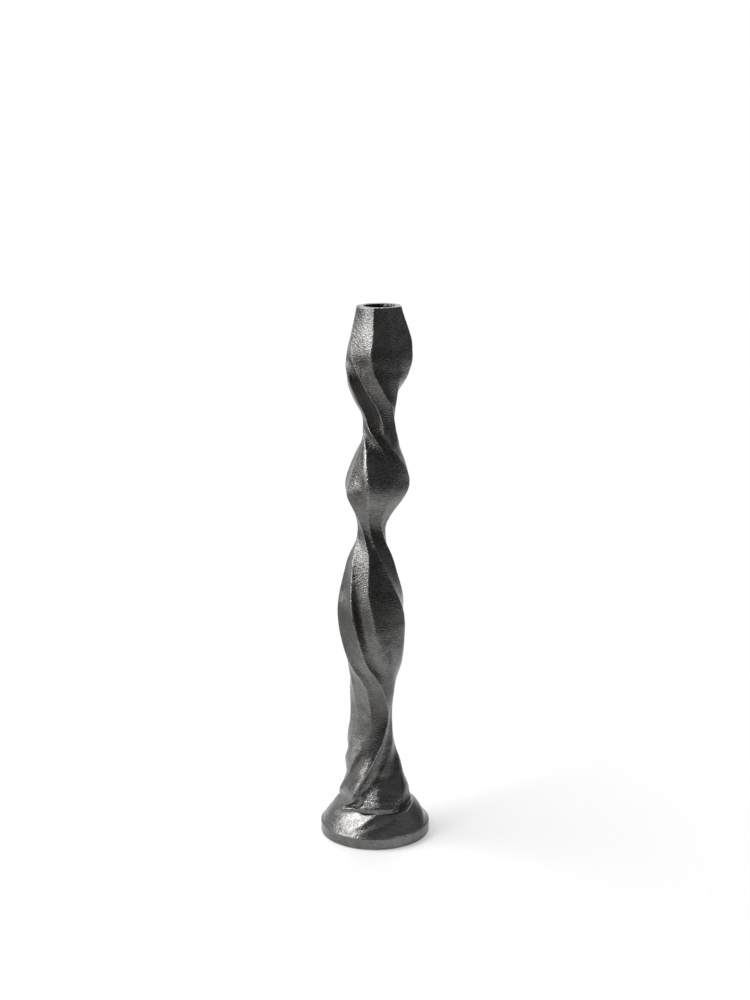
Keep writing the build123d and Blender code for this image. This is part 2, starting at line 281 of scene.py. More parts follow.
# Where it sags most: height share, shares of the face's width
dip_shares = [
    (0.06, (0.6, 0.15, 0.5, 0.5, 0.5, 0.5, 0.5, 0.5)),
    (0.078, (0.65, 0.17, 0.5, 0.5, 0.5, 0.5, 0.5, 0.5)),
    (0.092, (0.7, 0.27, 0.5, 0.5, 0.5, 0.5, 0.5, 0.5)),
    (0.113, (0.78, 0.58, 0.5, 0.5, 0.5, 0.5, 0.5, 0.5)),
    (0.14, (0.78, 0.52, 0.5, 0.5, 0.5, 0.5, 0.5, 0.5)),
    (0.17, (0.72, 0.42, 0.5, 0.5, 0.5, 0.5, 0.5, 0.5)),
    (0.2, (0.6, 0.35, 0.5, 0.5, 0.5, 0.5, 0.5, 0.5)),
    (0.3, (0.5, 0.35, 0.5, 0.5, 0.5, 0.5, 0.5, 0.5)),
    (0.4, (0.4, 0.36, 0.45, 0.5, 0.5, 0.5, 0.5, 0.5)),
    (0.46, (0.4, 0.36, 0.45, 0.5, 0.5, 0.5, 0.5, 0.5)),
    (0.52, (0.4, 0.3, 0.45, 0.35, 0.5, 0.5, 0.5, 0.5)),
    (0.6, (0.5, 0.5, 0.5, 0.35, 0.5, 0.5, 0.5, 0.5)),
    (0.66, (0.5, 0.5, 0.8, 0.4, 0.5, 0.5, 0.5, 0.5)),
    (0.75, (0.5, 0.5, 0.8, 0.4, 0.6, 0.5, 0.5, 0.5)),
    (0.79, (0.5, 0.5, 0.5, 0.5, 0.82, 0.5, 0.4, 0.5)),
    (0.9, (0.5, 0.5, 0.5, 0.5, 0.85, 0.5, 0.4, 0.5)),
    (1.0, (0.5, 0.5, 0.5, 0.5, 0.5, 0.5, 0.5, 0.5)),
]

# How far the face drops right after each ridge: height share, shares of the radius
step_shares = [
    (0.06, (0.0, 0.0, 0.0, 0.0, 0.0, 0.0, 0.0, 0.0)),
    (0.08, (0.03, 0.02, 0.0, 0.0, 0.0, 0.0, 0.0, 0.0)),
    (0.12, (0.08, 0.02, 0.0, 0.0, 0.0, 0.0, 0.0, 0.0)),
    (0.17, (0.08, 0.02, 0.0, 0.0, 0.0, 0.0, 0.0, 0.0)),
    (0.21, (0.04, 0.0, 0.0, 0.0, 0.0, 0.0, 0.0, 0.0)),
    (0.27, (0.0, 0.0, 0.0, 0.0, 0.0, 0.0, 0.0, 0.0)),
    (0.36, (0.0, 0.0, 0.0, 0.0, 0.0, 0.0, 0.0, 0.0)),
    (0.43, (0.0, 0.04, 0.0, 0.0, 0.0, 0.0, 0.0, 0.0)),
    (0.5, (0.0, 0.0, 0.0, 0.0, 0.0, 0.0, 0.0, 0.0)),
    (1.0, (0.0, 0.0, 0.0, 0.0, 0.0, 0.0, 0.0, 0.0)),
]
step_width_share = 0.14

# How rounded each ridge is: height share, shares
blunt_shares = [
    (0.06, (0.0, 0.0, 0.8, 1.0, 0.4, 0.4, 0.4, 0.4)),
    (0.17, (0.0, 0.0, 0.9, 1.0, 0.4, 0.4, 0.4, 0.4)),
    (0.25, (0.3, 0.4, 0.8, 0.8, 0.4, 0.4, 0.4, 0.5)),
    (0.31, (0.4, 0.5, 1.0, 1.0, 0.4, 0.4, 0.4, 0.5)),
    (0.37, (0.2, 0.1, 0.9, 0.7, 0.3, 0.3, 0.3, 0.3)),
    (0.43, (0.1, 0.0, 0.3, 0.1, 0.1, 0.1, 0.1, 0.1)),
    (0.48, (0.1, 0.0, 0.0, 0.0, 0.1, 0.1, 0.1, 0.1)),
    (0.6, (0.1, 0.1, 0.1, 0.1, 0.1, 0.1, 0.1, 0.1)),
    (0.65, (0.3, 0.3, 0.3, 0.35, 0.8, 0.3, 0.3, 0.3)),
    (0.75, (0.1, 0.1, 0.1, 0.35, 0.5, 0.1, 0.1, 0.1)),
    (0.79, (0.1, 0.1, 0.1, 0.1, 0.0, 0.0, 0.1, 0.1)),
    (1.0, (0.0, 0.0, 0.0, 0.0, 0.0, 0.0, 0.0, 0.0)),
]

# How dark the patina and painted shade lie on the face after each ridge: height share, shares
patina_and_shade_shares = [
    (0.06, (0.1, 0.0, 0.3, 0.9, 0.4, 0.0, 0.0, 0.0)),
    (0.08, (0.2, 0.0, 0.2, 0.95, 0.4, 0.0, 0.0, 0.0)),
    (0.1, (0.4, 0.0, 0.2, 0.8, 0.0, 0.0, 0.0, 0.0)),
    (0.12, (0.4, 0.2, 0.4, 0.7, 0.0, 0.0, 0.0, 0.0)),
    (0.14, (0.27, 0.3, 0.6, 0.5, 0.0, 0.0, 0.0, 0.0)),
    (0.165, (0.3, 0.15, 0.4, 0.4, 0.0, 0.0, 0.0, 0.0)),
    (0.19, (0.3, 0.0, 0.3, 0.3, 0.0, 0.0, 0.0, 0.0)),
    (0.23, (0.45, 0.5, 0.2, 0.3, 0.2, 0.0, 0.0, 0.0)),
    (0.27, (0.47, 0.55, 0.1, 0.3, 0.2, 0.0, 0.0, 0.0)),
    (0.3, (0.2, 0.25, 0.1, 0.2, 0.2, 0.0, 0.0, 0.0)),
    (0.34, (0.15, 0.2, 0.0, 0.0, 0.0, 0.0, 0.0, 0.0)),
    (0.395, (0.55, 0.2, 0.0, 0.0, 0.0, 0.0, 0.0, 0.0)),
    (0.42, (0.7, 0.35, 0.55, 0.0, 0.1, 0.0, 0.0, 0.0)),
    (0.45, (0.6, 0.25, 0.55, 0.25, 0.2, 0.0, 0.0, 0.0)),
    (0.48, (0.55, 0.0, 0.55, 0.2, 0.2, 0.0, 0.0, 0.0)),
    (0.53, (0.35, 0.0, 0.6, 0.2, 0.2, 0.0, 0.0, 0.0)),
    (0.58, (0.2, 0.2, 0.5, 0.75, 0.3, 0.0, 0.0, 0.0)),
    (0.62, (0.0, 0.0, 0.2, 0.2, 0.1, 0.0, 0.0, 0.0)),
    (0.65, (0.0, 0.0, 0.4, 0.0, 0.0, 0.0, 0.0, 0.0)),
    (0.68, (0.0, 0.0, 0.4, 0.2, 0.2, 0.0, 0.0, 0.0)),
    (0.7, (0.0, 0.0, 0.55, 0.2, 0.2, 0.0, 0.0, 0.0)),
    (0.725, (0.0, 0.0, 0.35, 0.4, 0.3, 0.0, 0.0, 0.0)),
    (0.755, (0.0, 0.0, 0.4, 0.8, 0.6, 0.2, 0.2, 0.0)),
    (0.78, (0.0, 0.0, 0.5, 0.5, 0.8, 0.3, 0.3, 0.0)),
    (0.81, (0.0, 0.0, 0.0, 0.0, 1.0, 0.25, 0.6, 0.2)),
    (0.85, (0.0, 0.0, 0.0, 0.0, 1.0, 0.3, 0.6, 0.2)),
    (0.875, (0.0, 0.0, 0.0, 0.0, 1.0, 0.35, 0.6, 0.2)),
    (0.888, (0.0, 0.0, 0.0, 0.0, 0.9, 0.5, 0.5, 0.1)),
    (0.9, (0.0, 0.0, 0.0, 0.2, 0.4, 0.55, 0.4, 0.1)),
    (0.912, (0.0, 0.0, 0.0, 0.0, 0.2, 0.45, 0.3, 0.1)),
    (0.932, (0.0, 0.0, 0.0, 0.0, 0.1, 0.0, 0.2, 0.0)),
    (0.955, (0.0, 0.0, 0.0, 0.0, 0.1, 0.0, 0.2, 0.0)),
    (1.0, (0.0, 0.0, 0.0, 0.0, 0.0, 0.25, 0.2, 0.1)),
]

# How brightly each ridge is worn and painted with highlights: height share, shares
wear_and_highlight_shares = [
    (0.06, (0.2, 0.3, 0.0, 0.0, 0.2, 0.2, 0.2, 0.2)),
    (0.13, (0.2, 1.0, 0.0, 0.0, 0.2, 0.2, 0.2, 0.2)),
    (0.19, (0.3, 0.8, 0.1, 0.1, 0.2, 0.2, 0.2, 0.2)),
    (0.33, (0.4, 0.6, 0.0, 0.1, 0.2, 0.2, 0.2, 0.2)),
    (0.4, (0.4, 0.8, 0.0, 0.0, 0.2, 0.2, 0.2, 0.2)),
    (0.5, (0.4, 1.0, 0.5, 0.3, 0.2, 0.2, 0.2, 0.2)),
    (0.6, (0.2, 0.2, 0.3, 0.4, 0.2, 0.2, 0.2, 0.2)),
    (0.67, (0.2, 0.2, 0.1, 0.7, 0.0, 0.5, 0.2, 0.2)),
    (0.73, (0.2, 0.2, 0.0, 1.0, 0.1, 1.0, 0.2, 0.2)),
    (0.755, (0.2, 0.2, 0.1, 0.8, 0.8, 1.0, 0.2, 0.1)),
    (0.78, (0.2, 0.2, 0.2, 0.5, 1.0, 0.6, 0.2, 0.1)),
    (0.85, (0.2, 0.2, 0.2, 0.2, 0.4, 0.4, 0.2, 0.0)),
    (0.91, (0.2, 0.2, 0.2, 0.2, 0.2, 0.3, 0.3, 0.0)),
    (1.0, (0.2, 0.2, 0.2, 0.2, 0.2, 0.3, 0.3, 0.0)),
]

# Height of the hem round the foot: angle, millimetres
hem_rows = [
    (-180, 25.6),
    (-120, 25.8),
    (-90, 25.8),
    (-68, 25.0),
    (-50, 24.6),
    (-25, 24.3),
    (4, 24.1),
    (21, 24.1),
    (39, 24.5),
    (58, 25.0),
    (83, 25.6),
    (180, 25.6),
]

# Ridges of the dome's swirl: share of its rise, angles
swirl_shares = [
    (0.0, (-250, -185, -104, -40, -14, 62)),
    (0.25, (-236, -170, -92, -29, -6, 76)),
    (0.43, (-224, -158, -82, -19, 6, 88)),
    (0.63, (-208, -142, -72, -11, 28, 100)),
    (0.8, (-190, -122, -60, -3, 45, 112)),
    (1.0, (-160, -90, -34, 14, 88, 150)),
]

# How far the dome sags after each of them: share of its rise, millimetres
swirl_sag_shares = [
    (0.0, (0.0, 0.0, 0.3, 0.0, 0.0, 0.0)),
    (0.12, (0.6, 0.4, 0.9, 0.2, 0.4, 0.6)),
    (0.35, (1.3, 0.8, 2.4, 0.8, 1.1, 1.2)),
    (0.6, (1.5, 0.8, 3.8, 1.4, 1.4, 1.3)),
    (0.8, (1.3, 0.5, 4.2, 1.6, 1.4, 1.0)),
    (1.0, (0.5, 0.5, 3.0, 0.5, 0.5, 0.5)),
]
swirl_dips = np.array((0.5, 0.5, 0.6, 0.45, 0.3, 0.5))
swirl_softening = 24

# Patina and painted shade: dark patches in hollows, under steps and over highlights of the key lamp: face,
# place across it, half width, height share, half height, strength
shade_and_patina_patches = [
    (0, 0.1, 0.25, 0.15, 0.05, 0.75),
    (1, 0.8, 0.3, 0.125, 0.03, 0.7),
    (1, 0.14, 0.3, 0.44, 0.06, 0.9),
    (2, 0.76, 0.16, 0.687, 0.022, 0.95),
    (2, 0.72, 0.16, 0.722, 0.022, 0.8),
    (2, 0.55, 0.3, 0.668, 0.01, 0.85),
    (3, 0.4, 0.5, 0.762, 0.022, 1.0),
    (4, 0.8, 0.4, 0.9, 0.02, 0.8),
    (5, 0.15, 0.3, 0.908, 0.02, 0.85),
    (5, 0.5, 0.6, 0.905, 0.016, 0.92),
    (5, 0.2, 0.4, 0.99, 0.02, 0.8),
]

# Painted highlights: folds and ridges made bright in colour where the key lamp's reflection falls, with the
# same columns
painted_highlight_patches = [
    (0, 0.9, 0.15, 0.115, 0.02, 1.0),
    (0, 0.76, 0.16, 0.138, 0.015, 1.0),
    (0, 0.3, 0.4, 0.464, 0.014, 0.9),
    (1, 0.45, 0.2, 0.086, 0.012, 0.7),
    (2, 0.3, 0.3, 0.375, 0.02, 0.5),
    (2, 0.42, 0.14, 0.686, 0.01, 0.6),
    (2, 0.33, 0.14, 0.73, 0.012, 0.5),
    (2, 0.96, 0.15, 0.725, 0.035, 1.0),
    (5, 0.05, 0.12, 0.737, 0.035, 1.0),
    (7, 0.6, 0.5, 0.165, 0.04, 0.5),
]

# How smoothly the skin is worked: height share, share
finish_shares = [
    (0.06, 0.3),
    (0.16, 0.5),
    (0.24, 0.7),
    (0.37, 0.8),
    (0.43, 0.3),
    (0.48, 0.0),
]

# How wide the worn and painted-highlight ridges are: nearness to the ridge, share
wear_and_highlight_rows = [(0.6, 0.0), (0.95, 1.0)]

# Mesh of the stem: columns on each face, rows level down to the foot and following the hem below
ridge_softening = 2
blunt_softening = 60
nearness_power = 4
columns_of_faces = (32, 30, 30, 32, 32, 32, 28, 28)
row_step = 1.15
foot_top = 48.0
foot_row_count = 44
hem_middle = 24.0

# Base: its dome's rows, its band, and the hollow below
base_column_count = 288
dome_row_count = 40
dome_row_power = 1.6
dome_wear = 0.08
dome_finish = 0.8
dome_ledge = 0.1
band_edge = 0.5
band_upper_edge_shares = [(0.7, 0.1), (0.2, 0.4), (0.0, 1.0)]
band_lower_edge_shares = [(0.3, 0.3), (1.0, 0.0)]
band_top_row = 1.2
band_row_count = 7
band_patina = 0.15
base_wall = 9.0
base_hole_radius = 4.5
base_hole_edge = 1.0
roof_ring = 20.0
felt_clearance = 0.3

# Felt: rings of its two faces, and its edge as millimetres pulled in and shares of its thickness
felt_column_count = 192
felt_rings = [4.0, 12.0, 20.0, 28.0, 34.0]
felt_edge_rows = [(0.8, 0.0), (0.35, 0.06), (0.2, 0.25), (0.2, 0.75), (0.4, 0.95), (0.9, 1.0)]

# Its uneven cut: millimetres, waves all round, angle of the first wave
felt_waves = [(0.15, 7, 0), (0.1, 13, 40)]


def smooth(rows, places):
    """Values at places on a smooth curve through rows of (place, value or values)."""
    at = np.array([row[0] for row in rows], float)
    values = np.array([np.atleast_1d(row[1]) for row in rows], float)
    slopes = np.diff(values, axis=0) / np.diff(at)[:, None]
    before, after = slopes[:-1], slopes[1:]
    rising = before * after > 0
    total = np.where(rising, before + after, 1.0)
    inner = np.where(rising, 2 * before * after / total, 0.0)
    tangents = np.vstack([slopes[:1], inner, slopes[-1:]])
    shape = np.shape(places)
    places = np.clip(np.ravel(places).astype(float), at[0], at[-1])
    index = np.clip(np.searchsorted(at, places, side="right") - 1, 0, len(at) - 2)
    gap = (at[index + 1] - at[index])[:, None]
    t = (places - at[index])[:, None] / gap
    low, high = values[index], values[index + 1]
    pull = t * (1 - t) * gap * ((1 - t) * tangents[index] - t * tangents[index + 1])
    found = low + (high - low) * t * t * (3 - 2 * t) + pull
    if values.shape[1] == 1:
        return found.reshape(shape)
    return found.reshape(shape + (values.shape[1],))


def dome_radius(height):
    """Radius of the dome over its folds."""
    left = np.clip((seat_height - height) / (seat_height - band_height), 0, 1)
    return plateau_radius + (dome_foot_radius - plateau_radius) * left ** dome_bulge_power


def stem_radius(height):
    """Radius of the stem over its ridges."""
    lips = np.linspace(lip_low, seat_height, lip_row_count)
    rows = [(lip, dome_radius(lip) + hem_clearance + hem_lip) for lip in lips]
    rows.append((instep_height, instep_radius))
    rows += [(share * overall_height, radius) for share, radius in radius_shares]
    return smooth(rows, height)


def around(radius, angle, height, shift=0.0):
    """Points at a radius and an angle from the front, towards the right."""
    turn = np.radians(angle)
    radius, turn, height = np.broadcast_arrays(radius, turn, height)
    return np.stack([shift + radius * np.sin(turn), -radius * np.cos(turn), height], -1)


def turned(profile, angle, shift=0.0):
    """Rows of points that turn a profile of radii and heights round the upright axis."""
    return np.stack([around(radius, angle, height, shift) for radius, height in profile])


def whole_turn(count):
    """Angles of so many columns all round."""
    return 360.0 * np.arange(count) / count


# One entry for each upright line of the stem's skin: its face and its share across that face
column_face = np.repeat(np.arange(len(columns_of_faces)), columns_of_faces)
column_across = np.concatenate([np.arange(n) / n for n in columns_of_faces])


def pick(table, height, face):
    """Values of a table of several columns at heights, each for its own face."""
    values = smooth(table, height / overall_height)
    return np.take_along_axis(values, np.broadcast_to(face, height.shape)[..., None], -1)[..., 0]


def stem_angles(height):
    """Angle of every column at its height."""
    turn = smooth(turn_shares, height / overall_height)
    following = (column_face + 1) % len(columns_of_faces)
    start = pick(fan_shares, height, column_face)
    end = pick(fan_shares, height, following) + np.where(following == 0, 360, 0)
    return turn + start + (end - start) * column_across


def softened(reach, passes):
    """Smooths values round the stem."""
    for _ in range(passes):
        reach = (np.roll(reach, 1, 1) + 2 * reach + np.roll(reach, -1, 1)) / 4
    return reach


def patched(patches, height):
    """Strength of soft patches on the faces at heights of shape (rows, columns)."""
    found = np.zeros(height.shape)
    for face, across, half_width, share, half_height, strength in patches:
        beside = (column_across - across) / half_width
        above = (height / overall_height - share) / half_height
        patch = strength * np.exp(-beside ** 2 - above ** 2)
        found = np.maximum(found, patch * (column_face == face))
    return found


def stem_skin(height):
    """Points of the stem's skin at heights of shape (rows, columns), their wear and painted highlights, and
    their patina and painted shade.
    """
    following = (column_face + 1) % len(columns_of_faces)
    start = pick(fan_shares, height, column_face)
    width = np.radians((pick(fan_shares, height, following) - start) % 360)
    before = pick(ridge_shares, height, column_face)
    after = pick(ridge_shares, height, following)
    left, right = np.sin(width * column_across), np.sin(width * (1 - column_across))
    flat = before * after * np.sin(width) / (before * left + after * right)
    dip = pick(dip_shares, height, column_face)
    short = column_across < dip
    share = np.where(short, 1 - column_across / dip, (column_across - dip) / (1 - dip))
    reach = flat - pick(sag_shares, height, column_face) * (1 - share ** 2)
    fall = smooth([(0.0, 0.0), (step_width_share, 1.0)], column_across) * (1 - column_across)
    reach -= pick(step_shares, height, column_face) * fall
    blunt = pick(blunt_shares, height, column_face) * (1 - column_across)
    blunt += pick(blunt_shares, height, following) * column_across
    reach = softened(reach, ridge_softening)
    reach += blunt * (softened(reach, blunt_softening) - reach)
    shift = smooth(lean_shares, height / overall_height)
    nearness = np.abs(2 * column_across - 1) ** nearness_power + 0 * height
    # Patina and painted shade from the tables and patches; painted highlights on the folds lighten it and
    # clear it
    patina = np.maximum(pick(patina_and_shade_shares, height, column_face), patched(shade_and_patina_patches, height))
    painted_highlights = patched(painted_highlight_patches, height)
    patina = patina * (1 - nearness ** nearness_power) * (1 - painted_highlights)
    nearest = np.where(column_across < 0.5, column_face, following)
    worn_and_highlit = np.maximum(smooth(wear_and_highlight_rows, nearness) * pick(wear_and_highlight_shares, height, nearest), painted_highlights)
    return around(stem_radius(height) * reach, stem_angles(height), height, shift), worn_and_highlit, patina


def skin_mesh(name, rows, marks, loop=False, poles=()):
    """Mesh through rows of points that go all round, closed by its poles or into a loop, with its marks."""
    count, width = len(rows), rows.shape[1]
    points = [rows.reshape(-1, 3)] + [np.array([pole], float) for pole in poles]
    k = np.arange(width)
    beside = (k + 1) % width
    faces = []
    for j in range(count if loop else count - 1):
        low, high = j * width, (j + 1) % count * width
        faces += np.stack([low + k, high + k, high + beside, low + beside], -1).tolist()
    if poles:
        first, last, end = count * width, count * width + 1, (count - 1) * width
        faces += np.stack([np.full(width, first), k, beside], -1).tolist()
        faces += np.stack([np.full(width, last), end + beside, end + k], -1).tolist()
    mesh = bpy.data.meshes.new(name)
    mesh.from_pydata((np.concatenate(points) * MM).tolist(), [], faces)
    mesh.shade_smooth()
    for label, values in marks.items():
        values = np.concatenate([values.ravel(), np.full(len(poles), values[-1, 0])])
        layer = mesh.attributes.new(label, "FLOAT", "POINT")
        layer.data.foreach_set("value", values.astype(np.float32))
    mesh.validate()
    piece = bpy.data.objects.new(name, mesh)
    bpy.context.scene.collection.objects.link(piece)
    return piece


def cast_unevenness(piece, name, size, depth):
    """Raises and sinks a piece's skin, as casting and filing leave it."""
    lumps = bpy.data.textures.new(name, "CLOUDS")
    lumps.noise_scale = size * MM
    lumps.noise_depth = 1
    change = piece.modifiers.new(name, "DISPLACE")
    change.texture = lumps
    change.texture_coords = "LOCAL"
    change.strength = depth * MM
    change.mid_level = 0.5


def stem_heights():
    """Heights of the stem's skin, row by row: level down to the foot, and following the hem below."""
    width = len(column_face)
    level = np.arange(overall_height - rim_round, foot_top, -row_step)
    level = np.repeat(level[:, None], width, 1)
    hem_angles = stem_angles(np.full((1, width), hem_middle))[0]
    hem = smooth(hem_rows, (hem_angles + 180) % 360 - 180)
    share = np.linspace(1, 0, foot_row_count)[:, None]
    return np.concatenate([level, hem + (foot_top - hem) * share])


def roll_hem(skin, heights):
    """Thickens the stem's hem: a deep lip in front, and a narrow roll along the rest."""
    above = heights - heights[-1]
    reach = np.linalg.norm(skin[..., :2], axis=-1)
    beside = np.abs(stem_angles(heights[-1:])[0] - lip_middle)
    front = 1 - smooth([(lip_level_share * lip_half_width, 0.0), (lip_half_width, 1.0)], beside)
    thick = 1 - smooth([(lip_height - lip_slope, 0.0), (lip_height, 1.0)], above)
    roll = (1 - front) * roll_depth * np.exp(-((above - roll_height) / roll_half_height) ** 2)
    lip = softened(reach[-1:], lip_softening) + lip_thickness + lip_flare * above
    roll += front * thick * np.maximum(lip - reach, 0)
    skin[..., :2] *= (1 + roll / reach)[..., None]


def socket_profile():
    """Radii and heights from the middle of the socket's floor up its wall to the lead-in."""
    floor = overall_height - socket_depth
    profile = [(ring, floor) for ring in socket_floor_rings]
    profile.append((socket_radius - socket_floor_round, floor + socket_floor_round))
    depths = np.linspace(socket_depth - socket_wall_foot, socket_lead_in, socket_wall_row_count)
    profile += [(socket_radius, overall_height - depth) for depth in depths]
    profile.append((socket_radius + lead_in_pull, overall_height - lead_in_drop))
    return profile


def rim_profile(edge):
    """Radii and heights from the socket's mouth over the rim to the stem's edge."""
    mouth = socket_radius + socket_lead_in
    flat = edge - rim_round
    profile = [(mouth + (flat - mouth) * share, overall_height) for share in (0.0, 0.25, 0.5, 0.75)]
    for turn in np.radians(rim_turns):
        pull = rim_round * (1 - math.cos(turn))
        drop = rim_round * (1 - math.sin(turn))
        profile.append((edge - pull, overall_height - drop))
    return profile


def underside_profile(edge, hem):
    """Radii and heights from the lip's edge, over the dome and the seat, to the top of the stud's hole."""
    shoulder = np.minimum(dome_radius(hem) + hem_clearance, edge - lip_edge_width)
    profile = [
        (edge - lip_edge_pull, hem - lip_edge_drop),
        (shoulder + lip_inner_pull, hem - lip_inner_drop),
        (shoulder, hem - lip_inner_lift),
    ]
    for share in seat_rise_shares:
        height = hem + (seat_height - hem) * share
        profile.append((np.minimum(dome_radius(height) + hem_clearance, shoulder), height))
    profile += [(ring, seat_height) for ring in reversed(seat_rings)]
    profile += [(stud_hole_radius, height) for height in (seat_height, stud_hole_middle, stud_hole_top)]
    return profile


def build_stem():
    """The stem: candle socket, rim, twisted skin, hem, and the underside that sits on the base."""
    heights = stem_heights()
    skin, worn_and_highlit, patina = stem_skin(heights)
    roll_hem(skin, heights)
    middle = float(smooth(lean_shares, 1.0))
    rim_edge = np.linalg.norm(skin[0, :, :2] - (middle, 0), axis=-1)
    rim_angles = stem_angles(np.full((1, len(column_face)), overall_height))[0]
    socket = turned(socket_profile(), rim_angles, middle)
    rim = turned(rim_profile(rim_edge), rim_angles, middle)
    hem_edge = np.linalg.norm(skin[-1, :, :2], axis=-1)
    under = turned(underside_profile(hem_edge, heights[-1]), stem_angles(heights[-1:])[0])
    rows = np.concatenate([socket, rim, skin, under])
    top = len(socket) + len(rim)
    outside = slice(top, top + len(skin))
    marks = {label: np.zeros(rows.shape[:2]) for label in ("crest", "raw", "patina", "worked")}
    # Wear and painted highlights on the rim and the ridges; patina and painted shade on the faces
    marks["crest"][:top] = worn_and_highlit[0]
    marks["crest"][outside] = worn_and_highlit
    marks["raw"][:len(socket)] = 1.0
    marks["patina"][outside] = patina
    marks["worked"][outside] = smooth(finish_shares, heights / overall_height)
    poles = ((middle, 0, overall_height - socket_depth), (0, 0, stud_hole_top))
    piece = skin_mesh("twisted_stem", rows, marks, poles=poles)
    cast_unevenness(piece, "stem_waves", size=16.0, depth=0.35)
    cast_unevenness(piece, "stem_lumps", size=4.0, depth=0.16)
    return piece


def swirled_dome(angle):
    """Points of the dome, row by row from the plateau down, and how near each lies to a ridge."""
    rise = 1 - (1 - np.linspace(1, 0, dome_row_count)) ** dome_row_power
    heights = band_height + (seat_height - band_height) * rise
    ridges = smooth(swirl_shares, rise)
    turn = (angle - ridges[:, :1]) % 360
    beside = np.concatenate([ridges - ridges[:, :1], np.full((len(rise), 1), 360.0)], 1)
    face = (turn[:, :, None] >= beside[:, None, :-1]).sum(-1) - 1
    start = np.take_along_axis(beside, face, 1)
    end = np.take_along_axis(beside, face + 1, 1)
    across = (turn - start) / (end - start)
    dip = swirl_dips[face]
    share = np.where(across < dip, 1 - across / dip, (across - dip) / (1 - dip))
    sag = np.take_along_axis(smooth(swirl_sag_shares, rise), face, 1)
    radius = softened(dome_radius(heights)[:, None] - sag * (1 - share ** 2), swirl_softening)
    return around(radius, angle, heights[:, None]), share ** nearness_power


def band_profile():
    """Radii and heights from the dome's foot down the band, round the felt's recess and up the hollow."""
    recess = felt_radius + felt_clearance
    hollow = base_radius - base_wall
    profile = [(dome_foot_radius + dome_ledge, band_height)]
    for pull, drop in band_upper_edge_shares:
        profile.append((base_radius - pull * band_edge, band_height - drop * band_edge))
    levels = np.linspace(band_height - band_top_row, felt_stand_off + band_edge, band_row_count)
    profile += [(base_radius, level) for level in levels]
    for pull, lift in band_lower_edge_shares:
        profile.append((base_radius - pull * band_edge, felt_stand_off + lift * band_edge))
    profile += [(recess, felt_stand_off), (recess, felt_thickness), (hollow, felt_thickness)]
    profile += [(radius, roof_height) for radius in (hollow, roof_ring, base_hole_radius)]
    profile.append((base_hole_radius, seat_height - base_hole_edge))
    return profile


def build_base():
    """The base: a swirled dome on a plain band, hollow below."""
    angle = whole_turn(base_column_count)
    plateau = turned([(ring, seat_height) for ring in (base_hole_radius, *seat_rings)], angle)
    dome, nearness = swirled_dome(angle)
    band = turned(band_profile(), angle)
    rows = np.concatenate([plateau, dome, band])
    foot = len(plateau) + len(dome)
    marks = {label: np.zeros(rows.shape[:2]) for label in ("crest", "worked", "patina")}
    marks["crest"][len(plateau):foot] = dome_wear * smooth(wear_and_highlight_rows, nearness)
    marks["worked"][:foot] = dome_finish
    marks["worked"][foot:] = 1.0
    marks["patina"][foot:] = band_patina
    piece = skin_mesh("swirled_base", rows, marks, loop=True)
    cast_unevenness(piece, "base_waves", size=14.0, depth=0.25)
    cast_unevenness(piece, "base_lumps", size=4.0, depth=0.1)
    return piece


def build_felt():
    """The felt that the base stands on: a cut disc with a soft, slightly uneven edge."""
    angle = whole_turn(felt_column_count)
    wobble = sum(depth * np.sin(np.radians(count * angle + first)) for depth, count, first in felt_waves)
    profile = [(ring, 0.0) for ring in felt_rings]
    profile += [(felt_radius - pull + wobble, share * felt_thickness) for pull, share in felt_edge_rows]
    profile += [(ring, felt_thickness) for ring in reversed(felt_rings)]
    poles = ((0, 0, 0), (0, 0, felt_thickness))
    return skin_mesh("felt_disc", turned(profile, angle), {}, poles=poles)


class Wire:
    """A node's output. Sums and products of wires add Math nodes to their tree."""

    def __init__(self, tree, socket=None):
        self.tree = tree
        self.socket = socket

    def node(self, kind, settings=None, sockets=None, output=0):
        """Adds a node: first its settings, then the values or links of its sockets."""
        made = self.tree.nodes.new(kind)
        for name, value in (settings or {}).items():
            setattr(made, name, value)
        for name, value in (sockets or {}).items():
            if isinstance(value, Wire):
                self.tree.links.new(value.socket, made.inputs[name])
            else:
                made.inputs[name].default_value = value
        return Wire(self.tree, made.outputs[output] if made.outputs else None)

    def maths(self, operation, first, second):
        """One Math node on two wires or numbers."""
        return self.node("ShaderNodeMath", {"operation": operation}, {0: first, 1: second})

    def __add__(self, other):
        return self.maths("ADD", self, other)

    def __radd__(self, other):
        return self.maths("ADD", other, self)

    def __sub__(self, other):
        return self.maths("SUBTRACT", self, other)

    def __rsub__(self, other):
        return self.maths("SUBTRACT", other, self)

    def __mul__(self, other):
        return self.maths("MULTIPLY", self, other)

    def __rmul__(self, other):
        return self.maths("MULTIPLY", other, self)

    def between(self, low, high):
        """0 below low, 1 above high, and smooth between them."""
        settings = {"interpolation_type": "SMOOTHSTEP"}
        return self.node("ShaderNodeMapRange", settings, {"Value": self, 1: low, 2: high})

    def blend(self, first, second):
        """From one colour to another by this wire."""
        settings = {"data_type": "RGBA"}
        return self.node("ShaderNodeMix", settings, {0: self, 6: first, 7: second}, output=2)


def new_material(name):
    """An empty material, and a wire to add its nodes with."""
    material = bpy.data.materials.new(name)
    material.use_nodes = True
    material.node_tree.nodes.clear()
    return material, Wire(material.node_tree)


def noise(start, place, size, detail=2.0, rough=0.5):
    """Clouds whose lumps are about so many millimetres across."""
    sockets = {"Vector": place, "Scale": 1 / (size * MM), "Detail": detail, "Roughness": rough}
    return start.node("ShaderNodeTexNoise", {}, sockets)


def mark(start, name):
    """A mark that the mesh carries at its points."""
    settings = {"attribute_name": name, "attribute_type": "GEOMETRY"}
    return start.node("ShaderNodeAttribute", settings, output="Fac")


